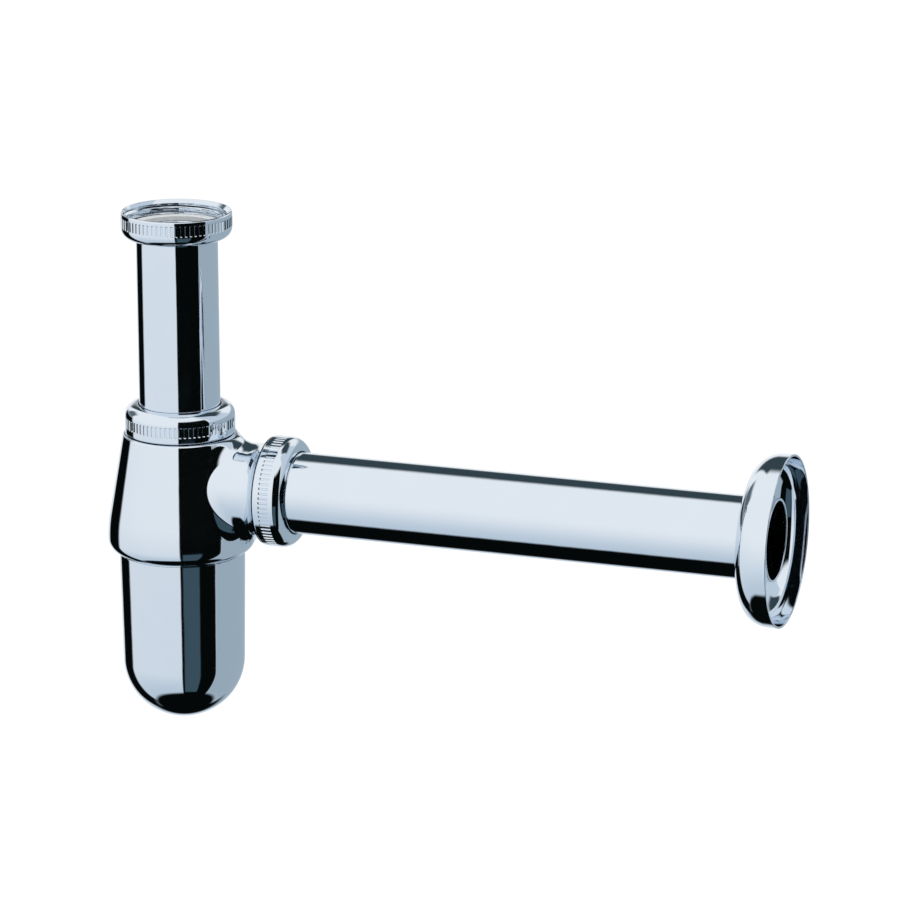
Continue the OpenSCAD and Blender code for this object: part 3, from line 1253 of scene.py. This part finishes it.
@dataclass
class Studio:
    """The floor, the soft light, the surroundings and the camera."""

    drop: float
    azimuth: float = 19.12
    elevation: float = 15.98
    distance: float = 1.643
    lens: float = 166.6
    right_shift: float = 0.1060
    up_shift: float = 0.0122
    floor_z: float = -0.50
    cards: tuple[Card, ...] = STUDIO_CARDS

    def build(self) -> None:
        """Makes the surroundings, the floor, the lamp and the camera."""
        self.make_world()
        self.make_floor()
        self.make_lamp()
        self.make_camera()

    def axes(self) -> tuple[Vector, Vector, Vector]:
        """Works out how the camera faces.

        Returns:
            The directions from the trap back to the camera, to its right and up.
        """
        turn, rise = math.radians(self.azimuth), math.radians(self.elevation)
        back = Vector((math.sin(turn) * math.cos(rise), -math.cos(turn) * math.cos(rise),
                       math.sin(rise)))
        right = Vector((math.cos(turn), math.sin(turn), 0.0))
        return back, right, back.cross(right)

    def make_camera(self) -> None:
        """Makes the camera of the photograph's view."""
        back, right, up = self.axes()
        data = bpy.data.cameras.new("camera")
        data.lens = self.lens
        data.sensor_width = 36.0
        data.clip_end = 50.0
        camera = bpy.data.objects.new("camera", data)
        place = back * self.distance + right * self.right_shift + up * self.up_shift
        turn = Matrix((right, up, back)).transposed().to_4x4()
        camera.matrix_world = Matrix.Translation(place - Vector((0, 0, self.drop * MM))) @ turn
        bpy.context.scene.collection.objects.link(camera)
        bpy.context.scene.camera = camera

    def make_floor(self) -> None:
        """Makes the plain pale floor, which stays white and keeps the trap's shadow."""
        deselect()
        bpy.ops.mesh.primitive_plane_add(size=40.0, location=(0, 0, self.floor_z))
        floor = bpy.context.object
        floor.name = "floor"
        floor.visible_glossy = False
        mat = bpy.data.materials.new("floor_white")
        mat.use_nodes = True
        nodes = mat.node_tree.nodes
        links = mat.node_tree.links
        nodes.remove(nodes["Principled BSDF"])
        matt = nodes.new("ShaderNodeBsdfDiffuse")
        matt.inputs["Color"].default_value = (0.30, 0.30, 0.30, 1.0)
        glow = nodes.new("ShaderNodeEmission")
        glow.inputs["Strength"].default_value = 0.74
        rays = nodes.new("ShaderNodeLightPath")
        sides = nodes.new("ShaderNodeMath")
        sides.operation = "ADD"
        sides.use_clamp = True
        links.new(rays.outputs["Is Camera Ray"], sides.inputs[0])
        links.new(rays.outputs["Is Glossy Ray"], sides.inputs[1])
        black = nodes.new("ShaderNodeEmission")
        black.inputs["Strength"].default_value = 0.0
        seen = nodes.new("ShaderNodeMixShader")
        links.new(sides.outputs["Value"], seen.inputs["Fac"])
        links.new(black.outputs["Emission"], seen.inputs[1])
        links.new(glow.outputs["Emission"], seen.inputs[2])
        both = nodes.new("ShaderNodeAddShader")
        links.new(matt.outputs["BSDF"], both.inputs[0])
        links.new(seen.outputs["Shader"], both.inputs[1])
        links.new(both.outputs["Shader"], nodes["Material Output"].inputs["Surface"])
        floor.data.materials.append(mat)

    def make_lamp(self) -> None:
        """Makes the large soft lamp above, which the chrome doesn't mirror."""
        data = bpy.data.lights.new("soft_lamp", "AREA")
        data.shape = "SQUARE"
        data.size = 1.6
        data.energy = 14.0
        lamp = bpy.data.objects.new("soft_lamp", data)
        lamp.location = (0.4, -0.9, 1.9)
        lamp.rotation_euler = (math.radians(25), 0.0, math.radians(14))
        lamp.visible_glossy = False
        bpy.context.scene.collection.objects.link(lamp)

    def make_world(self) -> None:
        """Makes the surroundings: plain white, and for the chrome the studio's cards."""
        scene = bpy.context.scene
        scene.view_settings.view_transform = "Standard"
        world = bpy.data.worlds.new("studio")
        world.use_nodes = True
        scene.world = world
        nodes = world.node_tree.nodes
        links = world.node_tree.links
        sums = Sums(world.node_tree)
        coords = nodes.new("ShaderNodeTexCoord")
        parts = nodes.new("ShaderNodeSeparateXYZ")
        links.new(coords.outputs["Generated"], parts.inputs["Vector"])
        x, y, z = (parts.outputs[name] for name in "XYZ")
        cos, sin = math.cos(math.radians(self.azimuth)), math.sin(math.radians(self.azimuth))
        sideways = sums.do("ADD", sums.do("MULTIPLY", x, cos), sums.do("MULTIPLY", y, sin))
        towards = sums.do("SUBTRACT", sums.do("MULTIPLY", x, sin), sums.do("MULTIPLY", y, cos))
        turn = sums.do("DEGREES", sums.do("ARCTAN2", sideways, towards))
        rise = sums.do("DEGREES", sums.do("ARCSINE", z))

        shown: bpy.types.NodeSocket | None = None
        for card in self.cards:
            share = sums.do("MULTIPLY", sums.within(turn, card.turn, card.soft_turn),
                            sums.within(rise, card.rise, card.soft_rise))
            mix = nodes.new("ShaderNodeMix")
            mix.label = card.name
            mix.data_type = "RGBA"
            links.new(share, mix.inputs[0])
            if shown is None:
                mix.inputs[6].default_value = (1.0, 1.0, 1.0, 1.0)
            else:
                links.new(shown, mix.inputs[6])
            mix.inputs[7].default_value = (*card.colour, 1.0)
            shown = mix.outputs[2]
        plain = nodes["Background"]
        plain.inputs["Color"].default_value = (1.0, 1.0, 1.0, 1.0)
        plain.inputs["Strength"].default_value = 1.0
        mirrored = nodes.new("ShaderNodeBackground")
        links.new(shown, mirrored.inputs["Color"])
        rays = nodes.new("ShaderNodeLightPath")
        choice = nodes.new("ShaderNodeMixShader")
        links.new(rays.outputs["Is Glossy Ray"], choice.inputs["Fac"])
        links.new(plain.outputs["Background"], choice.inputs[1])
        links.new(mirrored.outputs["Background"], choice.inputs[2])
        links.new(choice.outputs["Shader"], nodes["World Output"].inputs["Surface"])


def main() -> None:
    """Builds the trap's pieces in order."""
    logging.basicConfig(level=logging.INFO, format="%(name)s %(relativeCreated)6d ms: %(message)s")
    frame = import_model()
    finishes = Finishes.build()
    low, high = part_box("outlet_tube")
    drop = -(low[2] + high[2]) / 2 / MM
    LOG.info("outlet level %.2f mm below the washer's face", drop)
    InletJoint(drop).build(finishes)
    CompressionNut("body_nut", Axis.OUTLET_LEVEL, drop).build(finishes)
    TrapBody(drop).build(finishes)
    Cup(drop).build(finishes)
    CompressionNut("outlet_nut", Axis.OUTLET, drop).build(finishes)
    OutletTube(drop).build(finishes)
    WallFlange(drop).build(finishes)
    Seals().build(frame["nodes"], finishes)
    Studio(drop).build()


if __name__ == "__main__":
    main()
